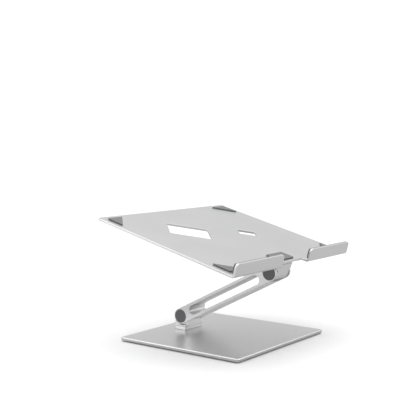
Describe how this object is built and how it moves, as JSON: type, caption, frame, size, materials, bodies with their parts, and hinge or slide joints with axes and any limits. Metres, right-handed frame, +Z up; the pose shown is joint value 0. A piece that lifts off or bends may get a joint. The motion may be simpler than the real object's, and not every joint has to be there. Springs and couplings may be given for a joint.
{
  "type": "laptop stand",
  "caption": "Folding aluminium laptop stand: flat base, slotted link arm and tilting vented tray with two front lips.",
  "frame": {"origin": "on the surface the stand rests on, straight below the base hinge's axis, half way across the stand", "axes": "+X to the user's right, -Y towards the user, +Z up"},
  "size_m": [0.28, 0.2274, 0.1724],
  "materials": {
    "satin_aluminium": "fine blasted and clear anodised, satin",
    "zinc_steel": "zinc plated",
    "grey_plastic": "fine moulded texture",
    "white_polymer": "smooth bearing plastic",
    "grey_rubber": "matt silicone rubber"
  },
  "bodies": {
    "base": {"base_plate": "satin_aluminium", "base_pad_front_left": "grey_rubber", "base_pad_front_right": "grey_rubber", "base_pad_back_left": "grey_rubber", "base_pad_back_right": "grey_rubber", "base_pad_hinge": "grey_rubber", "base_hinge_foot": "satin_aluminium", "base_hinge_block": "satin_aluminium", "base_screw_left": "zinc_steel", "base_screw_right": "zinc_steel"},
    "arm": {"link_arm": "satin_aluminium", "base_pivot_sleeve": "zinc_steel", "base_pivot_screw": "zinc_steel", "base_washer_left": "white_polymer", "base_washer_right": "white_polymer", "base_cap_left": "grey_plastic", "base_cap_right": "grey_plastic", "tray_pivot_sleeve": "zinc_steel", "tray_pivot_screw": "zinc_steel", "tray_washer_left": "white_polymer", "tray_washer_right": "white_polymer", "tray_cap_left": "grey_plastic", "tray_cap_right": "grey_plastic"},
    "tray": {"tray": "satin_aluminium", "tray_hinge_foot": "satin_aluminium", "tray_hinge_block": "satin_aluminium", "tray_screw_left": "zinc_steel", "tray_screw_right": "zinc_steel", "tray_pad_centre": "grey_rubber", "tray_pad_back_left": "grey_rubber", "tray_pad_back_right": "grey_rubber", "tray_pad_front_left": "grey_rubber", "tray_pad_front_right": "grey_rubber", "lip_liner_left": "grey_rubber", "lip_liner_right": "grey_rubber"}
  },
  "joints": [
    {"name": "base_hinge", "type": "hinge", "parent": "base", "child": "arm", "pos_m": [0, 0, 0.0252], "axis": [-1, 0, 0], "range_deg": [-27, 73]},
    {"name": "tray_hinge", "type": "hinge", "parent": "arm", "child": "tray", "pos_m": [0, -0.1488, 0.10102], "axis": [1, 0, 0], "range_deg": [-33, 88]}
  ]
}
